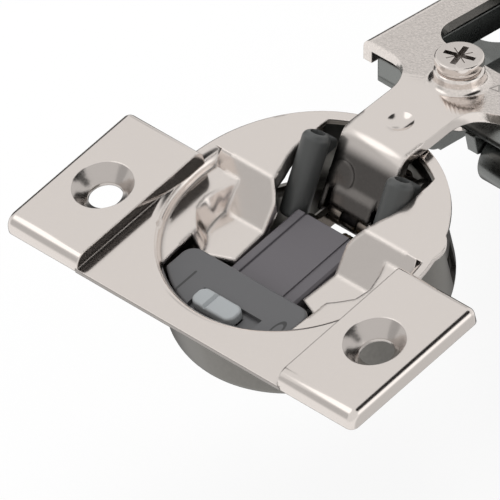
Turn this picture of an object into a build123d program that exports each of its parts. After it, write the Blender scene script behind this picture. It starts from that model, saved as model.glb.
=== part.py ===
# Concealed cup hinge, 35 mm, screw-on, soft-closing, with arm and mounting plate.
# Frame: origin on the cup's axis in the door face, +Z out of the door, +Y towards the arm.
# Pose: fully open. Millimetres.
import math
import os

from build123d import *

# Flange stamping
SHEET = 0.6
FLANGE_R = 18.5
MOUTH_R = 17.6
MOUTH_THROAT_R = 16.3
MOUTH_WALL_FOOT = -1.7
MOUTH_WALL_OUTER = MOUTH_THROAT_R + 0.55
MOUTH_OVERLAP = 0.4
MOUTH_ROLL_R = 1.9
FRONT_EDGE_Y = -20.4
FRONT_HALF_WIDTH = 16.9
HOLE_PITCH = 45.0
HOLE_ROW_Y = -9.5
HOLE_R = 2.1
COUNTERSINK_R = 3.87
COUNTERSINK_DEPTH = 1.8
PAD_TOP = 2.24
PAD_SHEET = 0.7
PAD_INNER_X = 16.6
PAD_OUTER_X = 28.8
PAD_FRONT_Y = -20.3
PAD_REAR_Y = 1.4
PAD_FRONT_ROLL = 1.8
PAD_REAR_ROLL = 1.1
PAD_SIDE_ROLL = 1.0
UPPER_SHELF_TOP = -1.0
LOWER_SHELF_TOP = -4.0
RAMP_TOP_Y = 4.0
RAMP_FOOT_INNER_X = 5.95
SHELF_FRONT_INNER_X = 5.65
SHELF_FRONT_INNER_Y = -5.7
SHELF_FRONT_OUTER = (8.9, -6.9)
CHANNEL_EDGE = ((8.9, 13.8), (8.9, 9.0), (8.55, 7.4), (8.0, 5.9), (7.5, 4.0))
RAMP_EDGE = ((7.5, 4.0), (6.6, 3.1), (5.95, 2.2), (5.95, -0.6))
CHANNEL_REAR_HALF = 8.0
CHANNEL_REAR_R = 17.2
LIP_DEPTH = 1.4
LIP_COVER = 0.3

# Side pocket: half outlines of its rim and its floor, from the ramp round to the front
POCKET_CORNER_X = 12.1
POCKET_RIM = ((12.9, 0.6), (13.6, -1.8), (13.2, -3.9), (11.7, -5.5), (10.8, -6.3), (10.4, -8.5))
POCKET_FLOOR_CORNER_X = 12.3
POCKET_FLOOR = ((12.3, -1.4), (12.2, -2.4), (11.8, -4.3), (10.6, -5.3), (10.0, -6.3), (9.6, -8.5))
POCKET_WALL_END = (10.6, -7.2)
UPPER_SHELF_FRONT = (10.2, -14.0)
SEAT_GAP = 0.05
EDGE_BULGE_R = 3.0
EDGE_BULGE = 0.35
EDGE_BULGE_Y = 6.2

# Cup shell
CUP_R = 17.4
SHELL = 0.5
CUP_DEPTH = 10.9
RIM_SEAT = 0.1
CUP_CORNER_R = 1.5
FLOOR_SLOT_HALF = 8.25
FLOOR_SLOT_Y = (6.0, 12.4)
REAR_EAR_X = (5.4, 6.4)
FRONT_EAR_X = (4.25, 5.05)
SHELL_WINDOW = (3.2, 4.4)
SHELL_WINDOW_ANGLE = 52.0
SHELL_WINDOW_Z = -7.2

# Lever pivots in the YZ plane
REAR_PIVOT = (14.7, -3.0)
FRONT_PIVOT = (5.24, -6.86)
EYE_PIVOT = (8.4, -6.3)
CHEEK_PIVOT = (11.31, -7.14)
CUP_PIN_R = 0.9
ARM_PIN_R = 0.8
RUNNING_GAP = 0.05
OPEN_PIVOT_GAP = 0.2
EYE_R = 1.3
BOSS_R = 1.4
INNER_BOSS_R = 1.5
OUTER_LEVER_X = (1.35, 3.1)
INNER_LEVER_X = (3.3, 4.15)
LEVER_BAR = 0.8

# Damper
HOUSING_GAP = 0.3
HOUSING_R = MOUTH_THROAT_R - HOUSING_GAP
HOUSING_HALF = 10.1
HOUSING_REAR_Y = -8.0
HOUSING_TOP = -1.6
HOUSING_FOOT = -10.35
HOUSING_CORNER_R = 1.8
HOUSING_EDGE_R = 0.4
HOUSING_FOOT_STEP = (1.0, 0.9)
TONGUE_HALF = 6.0
TONGUE_TOP = -6.2
TONGUE_END_Y = 2.0
SLIDER_HALF = 5.4
SLIDER_TOP = -3.65
SLIDER_REAR_Y = 4.6
SLIDER_FRONT_Y = -8.6
SLIDER_TRAVEL = 5.0
SLIDER_LIP_Y = 2.9
SLIDER_LIP_FOOT = -4.75
SLIDE_GAP = 0.1
DAMPER_AXIS_Z = -8.3
CYLINDER_R = 1.6
CYLINDER_BORE_R = 1.2
CYLINDER_Y = (-14.6, -6.1)
ROD_R = 0.5
KEEL_Y = (0.4, 1.9)
KEEL_HALF = 1.2
KEEL_SLOT_GAP = 0.7
CYLINDER_END = 0.8
PISTON_REACH = 2.6
PISTON_LENGTH = 1.0
SWITCH_X = (-3.5, 3.3)
SWITCH_Y = (-15.2, -12.5)
SWITCH_RISE = 0.6
SWITCH_TRAVEL = 2.5
TRACK_DEPTH = 0.6
SWITCH_CORNER_R = 1.1
SWITCH_EDGE_R = 0.35
SWITCH_GROOVE_X = -1.0
SWITCH_GROOVE = 0.5
STEM_HALF_X = 0.8
STEM_HALF_Y = 0.5
STEM_GAP_X = 0.2
SLIDER_EDGE = 0.5
SLIDER_GROOVE_X = (3.5, 3.8)
SLIDER_GROOVE_DEPTH = 0.3
SLIDER_STEP_DEPTH = 0.2

# Spring and its sleeves
SLEEVE_X = 6.95
SLEEVE_R = 1.75
SLEEVE_BORE_R = 0.95
SLEEVE_BORE_DEPTH = 5.0
SLEEVE_BASE = (4.9, -6.3)
SLEEVE_TIP = (11.5, 2.2)
SPRING_CORNER_R = 0.9
LUG_HALF = 1.15
SLEEVE_LUG = (
    (7.6, 1.3), (8.3, 1.9), (9.0, 2.8), (9.5, 3.05), (10.2, 2.7), (10.5, 1.2), (10.5, 0.0), (7.6, 0.0))
SLEEVE_LUG_EDGE_R = 0.45
SLEEVE_TIP_EDGE_R = 0.9
SLEEVE_BASE_EDGE_R = 0.6
LEG_GAP = 0.03
RETURN_WIRE_R = 0.18
RETURN_COIL_R = 0.95
RETURN_TURNS = 7
SPRING_WIRE_R = 0.5
SPRING_BAR_Z = -8.6
COIL_R = 1.17
COIL_WIRE_R = 0.22
COIL_TURNS = 4
COIL_START_X = 0.6

# Arm
ARM_SHEET = 1.4
CARRIAGE_HALF = 12.3
WEB_ANGLE = 51.0
WEB_HALF = 4.9
WEB_FOOT = 2.9
APRON_HALF = 3.2
APRON_FOOT = 1.3
APRON_TOP = 4.2
APRON_OUT = (0.06, 0.5)
WEB_CURL_R = 0.35
WEB_DISC = (-2.9, 4.7)
WEB_DISC_R = 1.9
WEB_DISC_RISE = 0.18
WEB_LENGTH = 10.3
CHEEK_INNER_X = 4.3
KNUCKLE_HALF = 1.2
NECK_END_Y = 24.5
BEND_OUTER_R = 2.2
BEND_INNER_R = 0.8
PLATE_ORIGIN = (0.0, 28.26, 0.735)
PLATE_TILT = 14.5
PLATE_FRONT = -1.6
PLATE_REAR = 46.0
SKIRT_GAP = 0.6
PLATE_HALF = CARRIAGE_HALF + SKIRT_GAP + ARM_SHEET
FLANGE_DROP = 3.0
FLARE_R = 5.0
WINDOW_HALF = 9.4
WINDOW_FRONT = 4.4
WINDOW_REAR = 39.0
WINDOW_CORNER_R = 3.5
COLLAR_R = 3.1
COLLAR_RISE = 1.9
COLLAR_FOOT = 0.9
COLLAR_EDGE_R = 0.5
CHEEK_LOW = ((2.5, -2.4), (-0.3, -2.4))
REAR_NOTCH = 1.8
REAR_NOTCH_GAP = 0.4
DIMPLE_TOP = PLATE_ORIGIN[2] + 1.42
DIMPLE_Y = 18.6
DIMPLE_R = 1.7
DIMPLE_DEPTH = 0.5

# Adjusting screw
SCREW_HEAD_R = 3.0
SCREW_HEAD_TOP = 3.6
SCREW_HEAD_THICK = 1.0
SCREW_R = 1.9
SCREW_TIP = -6.4
CROSS_ARM = 2.0
CROSS_WIDTH = 0.75
CROSS_DEPTH = 0.85
CROSS_ANGLE = 20.0
MARK_LENGTH = 3.4
MARK_WIDTH = 0.16
MARK_DEPTH = 0.2
SCREW_WAIST = 0.7
SCREW_HEAD_EDGE_R = 0.25
SCREW_TIP_EDGE = 0.5

# Carriage, cam, catch and mounting plate
CARRIAGE_TOP = -2.2
CARRIAGE_FOOT = -5.6
CARRIAGE_FRONT = -2.4
CARRIAGE_REAR = 41.0
CARRIAGE_BAR_END = 3.6
NOSE_CHAMFER = 1.4
NOSE_CORNER = 1.2
BRIDGE_Z = (-4.4, -2.8)
CARRIAGE_RAIL_X = 9.9
CARRIAGE_REAR_BAR = 35.0
CARRIAGE_SCREW_HOLE_R = 2.6
TILT_AXIS = (38.0, -4.0)
TILT_PIN_R = 1.0
TILT_EAR_R = 2.2
TILT_PIN_SHORT = 0.4
CAM_S = 30.0
CAM_R = 3.6
CAM_SHAFT_R = 1.8
CAM_TOP = -1.9
CAM_THICK = 1.1
CAM_SHAFT_DEPTH = 1.6
CAM_LOBE_DEPTH = 2.6
CAM_LOBE_SHIFT = 0.35
CAM_CROSS = (4.4, 0.9, 0.8)
BRIDGE_S = (25.0, 34.9)
PLATE_CORE_HALF = 8.0
PLATE_CORE_S = (8.0, 33.0)
PLATE_CORE_TOP = -6.4
PLATE_FOOT = -13.0
WING_SPREAD = 24.0
WING_S = (17.0, 29.0)
WING_THICK = 2.4
WING_CORNER_R = 4.5
CORE_EDGE = 1.5
PLATE_SINK = (1.5, 1.4)
PLATE_HOLE_PITCH = 32.0
PLATE_HOLE_R = 2.6
LOBE_X = (4.5, 9.6)
LOBE_R = 3.0
LOBE_CENTRE = (1.6, -9.6)
CATCH_AXIS = (41.5, -7.4)
CATCH_HALF = 6.5
CATCH_PIN_R = 0.8
CATCH_BOSS_R = 1.5
CATCH_SHEET = 1.2
CATCH_THUMB_S = 43.2
CATCH_THUMB_TOP = -2.2
LUG_X = (6.6, 7.9)
LUG_R = 1.6
HOOK_X = 3.5
HOOK_WIDTH = 1.6
HOOK_FRONT_S = -1.8
HOOK_REAR_S = 3.4
HOOK_TIP = ((3.4, -7.8), (1.6, -8.6), (-1.2, -8.0))


def prism_xy(points, low, high):
    outline = Plane.XY.offset(low) * Polygon(*points, align=None)
    return extrude(outline, amount=high - low, dir=(0, 0, 1))


def prism_yz(points, start_x, end_x):
    outline = Plane.YZ.offset(start_x) * Polygon(*points, align=None)
    return extrude(outline, amount=end_x - start_x, dir=(1, 0, 0))


def disc(radius, low, high, x=0.0, y=0.0):
    body = Cylinder(radius, high - low, align=(Align.CENTER, Align.CENTER, Align.MIN))
    return Pos(x, y, low) * body


def rod_x(pivot, radius, start_x, end_x):
    body = Cylinder(radius, end_x - start_x, align=(Align.CENTER, Align.CENTER, Align.MIN))
    return Pos(start_x, pivot[0], pivot[1]) * Rot(0, 90, 0) * body


def rod_y(x, z, radius, start_y, end_y):
    body = Cylinder(radius, end_y - start_y, align=(Align.CENTER, Align.CENTER, Align.MIN))
    return Pos(x, start_y, z) * Rot(-90, 0, 0) * body


def block(x_range, y_range, z_range):
    size = (x_range[1] - x_range[0], y_range[1] - y_range[0], z_range[1] - z_range[0])
    body = Box(*size, align=(Align.MIN, Align.MIN, Align.MIN))
    return Pos(x_range[0], y_range[0], z_range[0]) * body


def both_sides(body):
    return [body, mirror(body, about=Plane.YZ)]


def link_bar(start, end, half_height, start_x, end_x):
    along = math.atan2(end[1] - start[1], end[0] - start[0])
    side_y = -math.sin(along) * half_height
    side_z = math.cos(along) * half_height
    corners = [
        (start[0] + side_y, start[1] + side_z),
        (end[0] + side_y, end[1] + side_z),
        (end[0] - side_y, end[1] - side_z),
        (start[0] - side_y, start[1] - side_z),
    ]
    return prism_yz(corners, start_x, end_x)


# Flange stamping

def pad_form(inset, top):
    side_profile = Plane.YZ.offset(PAD_INNER_X + inset) * Polygon(
        (PAD_FRONT_Y + inset, 0), (PAD_REAR_Y - inset, 0), (PAD_REAR_Y - inset, top),
        (PAD_FRONT_Y + inset, top), align=None)
    corners = side_profile.vertices().group_by(Axis.Z)[-1].sort_by(Axis.Y)
    side_profile = fillet(corners[0], PAD_FRONT_ROLL - inset)
    corners = side_profile.vertices().group_by(Axis.Z)[-1].sort_by(Axis.Y)
    side_profile = fillet(corners[-1], PAD_REAR_ROLL - inset)
    body = extrude(side_profile, amount=PAD_OUTER_X - PAD_INNER_X - 2 * inset, dir=(1, 0, 0))
    outer_edges = body.edges().filter_by(Axis.Y).group_by(Axis.Z)[-1].sort_by(Axis.X)
    body = fillet(outer_edges[-1], PAD_SIDE_ROLL - inset)
    return body


def screw_pad():
    shell = pad_form(0.0, PAD_TOP)
    core = pad_form(PAD_SHEET, PAD_TOP - PAD_SHEET)
    hole_x = HOLE_PITCH / 2
    dimple_foot = HOLE_R + PAD_SHEET
    dimple = Pos(hole_x, HOLE_ROW_Y, 0.0) * Cone(
        dimple_foot, dimple_foot + PAD_TOP - 0.2, PAD_TOP - 0.2,
        align=(Align.CENTER, Align.CENTER, Align.MIN))
    shell = shell - core + dimple
    sink_foot = PAD_TOP - COUNTERSINK_DEPTH
    sink = Pos(hole_x, HOLE_ROW_Y, sink_foot) * Cone(
        HOLE_R, COUNTERSINK_R, COUNTERSINK_DEPTH, align=(Align.CENTER, Align.CENTER, Align.MIN))
    return shell - sink - disc(HOLE_R, -1.0, PAD_TOP, hole_x, HOLE_ROW_Y)


def mouth_wall():
    outer = MOUTH_R + MOUTH_OVERLAP
    profile = [
        Line((outer, 0), (outer, SHEET)),
        Line((outer, SHEET), (MOUTH_R, SHEET)),
        RadiusArc((MOUTH_R, SHEET), (MOUTH_THROAT_R, UPPER_SHELF_TOP), -MOUTH_ROLL_R),
        Line((MOUTH_THROAT_R, UPPER_SHELF_TOP), (MOUTH_THROAT_R, MOUTH_WALL_FOOT)),
        Line((MOUTH_THROAT_R, MOUTH_WALL_FOOT), (MOUTH_WALL_OUTER, MOUTH_WALL_FOOT)),
        Line((MOUTH_WALL_OUTER, MOUTH_WALL_FOOT), (MOUTH_WALL_OUTER, 0)),
        Line((MOUTH_WALL_OUTER, 0), (outer, 0)),
    ]
    face = Plane.XZ * make_face(profile)
    ring = revolve(face, Axis.Z, 360)
    return ring & block((-20, 20), (-20, RAMP_TOP_Y), (-3, 2))


def pocket_outline(corner, points, height, spread):
    front_y = points[-1][1]
    rear_y = corner[1]
    outline = Polygon((0, rear_y), corner, *points, (0, front_y), align=None)
    if spread > 0:
        outline = offset(outline, amount=spread, kind=Kind.INTERSECTION)
    return Plane.XY.offset(height) * outline


def ramp_y(height):
    return RAMP_TOP_Y - (SHEET - height)


def side_pocket():
    rim_corner = (POCKET_CORNER_X, ramp_y(UPPER_SHELF_TOP))
    floor_corner = (POCKET_FLOOR_CORNER_X, ramp_y(LOWER_SHELF_TOP))
    hollow = loft([
        pocket_outline(rim_corner, POCKET_RIM, UPPER_SHELF_TOP, 0),
        pocket_outline(floor_corner, POCKET_FLOOR, LOWER_SHELF_TOP, 0)], ruled=True)
    outside = loft([
        pocket_outline(rim_corner, POCKET_RIM, UPPER_SHELF_TOP, SHEET),
        pocket_outline(floor_corner, POCKET_FLOOR, LOWER_SHELF_TOP - SHEET, SHEET)], ruled=True)
    kept = prism_xy(
        [*RAMP_EDGE, (SHELF_FRONT_INNER_X, SHELF_FRONT_INNER_Y), SHELF_FRONT_OUTER, POCKET_WALL_END,
         (MOUTH_R, POCKET_WALL_END[1]), (MOUTH_R, RAMP_TOP_Y)], -CUP_DEPTH, 1)
    return (outside - hollow) & kept


def ramp_top():
    foot = SHEET * math.sqrt(2)
    low_y = ramp_y(UPPER_SHELF_TOP)
    strip = prism_yz(
        [(RAMP_TOP_Y, SHEET), (low_y, UPPER_SHELF_TOP), (low_y, UPPER_SHELF_TOP - foot),
         (RAMP_TOP_Y + foot - SHEET, 0.0), (RAMP_TOP_Y + foot, 0.0), (RAMP_TOP_Y + foot, SHEET)],
        RAMP_FOOT_INNER_X, MOUTH_R)
    rear_y = RAMP_TOP_Y + foot
    front_y = RAMP_EDGE[-1][1]
    kept = prism_xy(
        [(RAMP_EDGE[0][0], rear_y), *RAMP_EDGE, (MOUTH_R, front_y), (MOUTH_R, rear_y)], -8, 2)
    return strip & kept


def upper_shelf():
    rear_y = ramp_y(UPPER_SHELF_TOP)
    return prism_xy(
        [(POCKET_CORNER_X, rear_y + 0.2), (POCKET_CORNER_X, rear_y), *POCKET_RIM[:-1], UPPER_SHELF_FRONT,
         (MOUTH_R, UPPER_SHELF_FRONT[1]), (MOUTH_R, rear_y + 0.2)],
        UPPER_SHELF_TOP - SHEET, UPPER_SHELF_TOP)


def edge_lip(path, low, high):
    outer = [(x + SHEET, y) for x, y in reversed(path)]
    return prism_xy([*path, *outer], low, high)


def channel_lips():
    lip = edge_lip(CHANNEL_EDGE, -LIP_DEPTH, SHEET / 2)
    low_y = RAMP_EDGE[-1][1]
    under_ramp = prism_yz(
        [(RAMP_TOP_Y + 0.2, SHEET - LIP_COVER), (RAMP_TOP_Y, SHEET - LIP_COVER),
         (low_y, LOWER_SHELF_TOP - LIP_COVER), (low_y, LOWER_SHELF_TOP - LIP_DEPTH),
         (RAMP_TOP_Y, -LIP_DEPTH), (RAMP_TOP_Y + 0.2, -LIP_DEPTH)], 0, MOUTH_R)
    lip += edge_lip(((RAMP_EDGE[0][0] + 0.05, RAMP_TOP_Y + 0.2), *RAMP_EDGE), -CUP_DEPTH, 1) & under_ramp
    front = (RAMP_EDGE[-1], (SHELF_FRONT_INNER_X, SHELF_FRONT_INNER_Y))
    return lip + edge_lip(front, LOWER_SHELF_TOP - LIP_DEPTH, LOWER_SHELF_TOP - LIP_COVER)


def stepped_side():
    inside = disc(MOUTH_THROAT_R + 0.3, -8, 2)
    inner = disc(CUP_R - SHELL - SEAT_GAP, -8, 2)
    return ((ramp_top() + upper_shelf()) & inside) + side_pocket() + (channel_lips() & inner)


def flange_plate():
    flat = disc(FLANGE_R, 0, SHEET)
    flat += block((-FRONT_HALF_WIDTH, FRONT_HALF_WIDTH), (FRONT_EDGE_Y, 0), (0, SHEET))
    bulge_x = FLANGE_R - EDGE_BULGE_R + EDGE_BULGE - 0.5 * EDGE_BULGE_Y ** 2 / FLANGE_R
    for side in (-1, 1):
        flat += disc(EDGE_BULGE_R, 0, SHEET, side * bulge_x, EDGE_BULGE_Y)
    mouth = disc(MOUTH_R + 0.1, -2, 2) & block((-20, 20), (-20, RAMP_TOP_Y), (-3, 3))
    right_edge = [(CHANNEL_REAR_HALF, 20), *CHANNEL_EDGE, (CHANNEL_EDGE[-1][0], RAMP_TOP_Y - 1)]
    left_edge = [(-x, y) for x, y in reversed(right_edge)]
    channel = prism_xy(right_edge + left_edge, -2, 2) & disc(CHANNEL_REAR_R, -2, 2)
    plate = flat - mouth - channel + mouth_wall()
    for body in both_sides(stepped_side()) + both_sides(screw_pad()):
        plate += body
    hole_x = HOLE_PITCH / 2
    for side in (-1, 1):
        plate -= disc(HOLE_R, -2, 4, side * hole_x, HOLE_ROW_Y)
    cup_seat = disc(CUP_R + SEAT_GAP, -0.5, RIM_SEAT) - disc(CUP_R - SHELL, -0.5, RIM_SEAT)
    return plate - cup_seat


# Cup shell with the ears that hold both cup pins

def cup_shell():
    outside = disc(CUP_R, -CUP_DEPTH, RIM_SEAT)
    outside = fillet(outside.edges().filter_by(GeomType.CIRCLE).sort_by(Axis.Z)[0], CUP_CORNER_R)
    inner_r = CUP_R - SHELL
    inside = disc(inner_r, -CUP_DEPTH + SHELL, 1)
    inside = fillet(inside.edges().filter_by(GeomType.CIRCLE).sort_by(Axis.Z)[0], CUP_CORNER_R - SHELL)
    shell = outside - inside
    floor_top = -CUP_DEPTH + SHELL
    shell -= block((-FLOOR_SLOT_HALF, FLOOR_SLOT_HALF), FLOOR_SLOT_Y, (-CUP_DEPTH - 1, floor_top + 0.2))
    for side in (-1, 1):
        spin = Rot(0, 0, 90 - side * SHELL_WINDOW_ANGLE)
        window = Pos(0, 0, SHELL_WINDOW_Z) * spin * Pos(CUP_R, 0, 0) * Box(4, *SHELL_WINDOW)
        shell -= window
    for pivot, ear_x in ((REAR_PIVOT, REAR_EAR_X), (FRONT_PIVOT, FRONT_EAR_X)):
        for body in both_sides(ear(pivot, ear_x, floor_top)):
            shell += body & disc(CUP_R - SEAT_GAP, -CUP_DEPTH + SEAT_GAP, 0)
    return shell


def ear(pivot, ear_x, floor_top):
    low, high = ear_x
    plate = block(ear_x, (pivot[0] - BOSS_R, pivot[0] + BOSS_R), (floor_top - SHELL / 2, pivot[1]))
    plate += rod_x(pivot, BOSS_R, low, high)
    return plate - rod_x(pivot, CUP_PIN_R, low - 1, high + 1)


def cup_pin(pivot, ear_x):
    return rod_x(pivot, CUP_PIN_R, -ear_x[1], ear_x[1])


# Levers

def outer_lever():
    start_x, end_x = OUTER_LEVER_X
    plates = []
    for low, high in ((start_x, end_x), (-end_x, -start_x)):
        plate = rod_x(EYE_PIVOT, EYE_R, low, high) + rod_x(REAR_PIVOT, BOSS_R, low, high)
        plate += link_bar(EYE_PIVOT, REAR_PIVOT, LEVER_BAR, low, high)
        plates.append(plate)
    lever = plates[0] + plates[1] + rod_x(REAR_PIVOT, BOSS_R, -end_x, end_x)
    lever -= rod_x(EYE_PIVOT, ARM_PIN_R + RUNNING_GAP, -end_x - 1, end_x + 1)
    lever -= rod_x(REAR_PIVOT, CUP_PIN_R + RUNNING_GAP, -end_x - 1, end_x + 1)
    return lever


def inner_lever(side):
    low, high = INNER_LEVER_X if side > 0 else (-INNER_LEVER_X[1], -INNER_LEVER_X[0])
    lever = rod_x(FRONT_PIVOT, INNER_BOSS_R, low, high) + rod_x(CHEEK_PIVOT, INNER_BOSS_R, low, high)
    lever += link_bar(FRONT_PIVOT, CHEEK_PIVOT, INNER_BOSS_R - 0.3, low, high)
    lever -= rod_x(FRONT_PIVOT, CUP_PIN_R + RUNNING_GAP, low - 1, high + 1)
    lever -= rod_x(CHEEK_PIVOT, ARM_PIN_R + OPEN_PIVOT_GAP, low - 1, high + 1)
    return lever


# Damper

def damper_housing():
    front = disc(HOUSING_R, HOUSING_FOOT, HOUSING_TOP)
    front = front & block((-HOUSING_HALF, HOUSING_HALF), (-20, HOUSING_REAR_Y), (HOUSING_FOOT, HOUSING_TOP))
    rear_corners = front.edges().filter_by(Axis.Z).group_by(Axis.Y)[-1]
    front = fillet(rear_corners, HOUSING_CORNER_R)
    front = fillet(front.faces().sort_by(Axis.Z)[-1].edges(), HOUSING_EDGE_R)
    low_edge = HOUSING_FOOT + HOUSING_FOOT_STEP[1]
    foot_r = HOUSING_R - HOUSING_FOOT_STEP[0]
    front -= disc(HOUSING_R + 1, HOUSING_FOOT - 1, low_edge) - disc(foot_r, HOUSING_FOOT - 1, low_edge)
    tongue_y = (HOUSING_REAR_Y - 1, TONGUE_END_Y)
    housing = front + block((-TONGUE_HALF, TONGUE_HALF), tongue_y, (HOUSING_FOOT, TONGUE_TOP))
    pocket_front = SLIDER_FRONT_Y - SLIDER_TRAVEL - 0.3
    housing -= block(
        (-SLIDER_HALF - SLIDE_GAP, SLIDER_HALF + SLIDE_GAP), (pocket_front, HOUSING_REAR_Y + 1),
        (TONGUE_TOP, SLIDER_TOP + SLIDE_GAP))
    slot_half = KEEL_HALF + KEEL_SLOT_GAP
    slot_y = (CYLINDER_Y[1], TONGUE_END_Y + 1)
    housing -= block((-slot_half, slot_half), slot_y, (HOUSING_FOOT - 1, TONGUE_TOP + 0.1))
    housing -= rod_y(0, DAMPER_AXIS_Z, CYLINDER_R, CYLINDER_Y[0], CYLINDER_Y[1] + 1)
    track_z = HOUSING_TOP - TRACK_DEPTH
    track = block(
        (SWITCH_X[0] - SLIDE_GAP, SWITCH_X[1] + SWITCH_TRAVEL + SLIDE_GAP),
        (-HOUSING_R, SWITCH_Y[1] + SLIDE_GAP),
        (track_z, HOUSING_TOP + 1))
    housing -= track
    stem_y = (SWITCH_Y[0] + SWITCH_Y[1]) / 2
    stem_x = (-STEM_HALF_X - STEM_GAP_X, STEM_HALF_X + STEM_GAP_X + SWITCH_TRAVEL)
    stem_half = STEM_HALF_Y + SLIDE_GAP
    housing -= block(stem_x, (stem_y - stem_half, stem_y + stem_half), (SLIDER_TOP, track_z + 1))
    return housing


def deactivation_switch():
    low = HOUSING_TOP - TRACK_DEPTH + 0.05
    top = HOUSING_TOP + SWITCH_RISE
    width = SWITCH_X[1] - SWITCH_X[0]
    depth = SWITCH_Y[1] - SWITCH_Y[0]
    centre = Pos((SWITCH_X[0] + SWITCH_X[1]) / 2, (SWITCH_Y[0] + SWITCH_Y[1]) / 2, low)
    body = centre * extrude(RectangleRounded(width, depth, SWITCH_CORNER_R), amount=top - low)
    body = fillet(body.faces().sort_by(Axis.Z)[-1].edges(), SWITCH_EDGE_R)
    body = body & disc(HOUSING_R - 0.2, -5, 5)
    middle_y = centre.position.Y
    groove = Box(SWITCH_GROOVE, depth + 1, SWITCH_GROOVE)
    groove = Pos(SWITCH_GROOVE_X, middle_y, top) * Rot(0, 45, 0) * groove
    stem_y = (middle_y - STEM_HALF_Y, middle_y + STEM_HALF_Y)
    stem = block((-STEM_HALF_X, STEM_HALF_X), stem_y, (SLIDER_TOP + 0.35, low + 0.1))
    return body - groove + stem


def damper_slider():
    low = TONGUE_TOP + 0.05
    body = block((-SLIDER_HALF, SLIDER_HALF), (SLIDER_FRONT_Y, SLIDER_LIP_Y), (low, SLIDER_TOP))
    body += block((-SLIDER_HALF, SLIDER_HALF), (SLIDER_FRONT_Y, SLIDER_REAR_Y), (SLIDER_LIP_FOOT, SLIDER_TOP))
    long_edges = body.edges().filter_by(Axis.Y).group_by(Axis.Z)[-1]
    body = chamfer(long_edges, SLIDER_EDGE)
    near_x, far_x = SLIDER_GROOVE_X
    whole_y = (SLIDER_FRONT_Y - 1, SLIDER_REAR_Y + 1)
    groove = block((-far_x, -near_x), whole_y, (SLIDER_TOP - SLIDER_GROOVE_DEPTH, 0))
    step = block((near_x, SLIDER_HALF + 1), whole_y, (SLIDER_TOP - SLIDER_STEP_DEPTH, 0))
    keel = block((-KEEL_HALF, KEEL_HALF), KEEL_Y, (DAMPER_AXIS_Z - KEEL_HALF, low + 0.1))
    keel -= rod_y(0, DAMPER_AXIS_Z, ROD_R, KEEL_Y[0] - 1, KEEL_Y[1] + 1)
    return body - groove - step + keel


def damper_cylinder():
    tube = rod_y(0, DAMPER_AXIS_Z, CYLINDER_R, *CYLINDER_Y)
    bore_y = (CYLINDER_Y[0] + CYLINDER_END, CYLINDER_Y[1] - CYLINDER_END)
    tube -= rod_y(0, DAMPER_AXIS_Z, CYLINDER_BORE_R, *bore_y)
    return tube - rod_y(0, DAMPER_AXIS_Z, ROD_R + RUNNING_GAP, CYLINDER_Y[1] - 1, CYLINDER_Y[1] + 1)


def damper_rod():
    piston_y = CYLINDER_Y[1] - PISTON_REACH
    rod = rod_y(0, DAMPER_AXIS_Z, ROD_R, piston_y, KEEL_Y[1])
    piston_r = CYLINDER_BORE_R - RUNNING_GAP
    return rod + rod_y(0, DAMPER_AXIS_Z, piston_r, piston_y, piston_y + PISTON_LENGTH)


def damper_return_spring():
    height = KEEL_Y[0] - CYLINDER_Y[1] - 2 * (RUNNING_GAP + RETURN_WIRE_R)
    path = Helix(pitch=height / RETURN_TURNS, height=height, radius=RETURN_COIL_R)
    section = Plane(origin=path @ 0, z_dir=path % 0) * RegularPolygon(RETURN_WIRE_R, 6)
    spring = sweep(section, path=path)
    start_y = CYLINDER_Y[1] + RUNNING_GAP + RETURN_WIRE_R
    return Pos(0, start_y, DAMPER_AXIS_Z) * Rot(-90, 0, 0) * spring


# Spring and its sleeves

def spring_sleeve(side):
    x = side * SLEEVE_X
    base = Vector(x, *SLEEVE_BASE)
    tip = Vector(x, *SLEEVE_TIP)
    length = (tip - base).length
    axis = Plane(origin=base, x_dir=(1, 0, 0), z_dir=tip - base)
    body = Cylinder(SLEEVE_R, length, align=(Align.CENTER, Align.CENTER, Align.MIN))
    body = fillet(body.edges().filter_by(GeomType.CIRCLE).sort_by(Axis.Z)[-1], SLEEVE_TIP_EDGE_R)
    body = fillet(body.edges().filter_by(GeomType.CIRCLE).sort_by(Axis.Z)[0], SLEEVE_BASE_EDGE_R)
    bore = Pos(0, 0, length - SLEEVE_BORE_DEPTH) * Cylinder(
        SLEEVE_BORE_R, SLEEVE_BORE_DEPTH + 1, align=(Align.CENTER, Align.CENTER, Align.MIN))
    leg_hole = Cylinder(SPRING_WIRE_R + LEG_GAP, length, align=(Align.CENTER, Align.CENTER, Align.MIN))
    along = (tip - base).normalized()
    lug_points = []
    for reach, rise in SLEEVE_LUG:
        lug_y = base.Y + reach * along.Y + rise * along.Z
        lug_z = base.Z + reach * along.Z - rise * along.Y
        lug_points.append((lug_y, lug_z))
    lug = prism_yz(lug_points, x - LUG_HALF, x + LUG_HALF)
    lug = fillet(lug.edges().filter_by(GeomType.LINE).filter_by(Axis.X, reverse=True), SLEEVE_LUG_EDGE_R)
    return axis * (body - bore - leg_hole) + (lug - axis * (bore + leg_hole))


def closing_spring():
    base = Vector(0, *SLEEVE_BASE)
    tip = Vector(0, *SLEEVE_TIP)
    along = (tip - base).normalized()
    top = base + along * ((tip - base).length - SLEEVE_BORE_DEPTH - 0.2)
    foot = base + along * ((SPRING_BAR_Z - base.Z) / along.Z)
    path = FilletPolyline(
        (-SLEEVE_X, top.Y, top.Z), (-SLEEVE_X, foot.Y, foot.Z), (SLEEVE_X, foot.Y, foot.Z),
        (SLEEVE_X, top.Y, top.Z), radius=SPRING_CORNER_R)
    section = Plane(origin=path @ 0, z_dir=path % 0) * Circle(SPRING_WIRE_R)
    return sweep(section, path=path)


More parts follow.
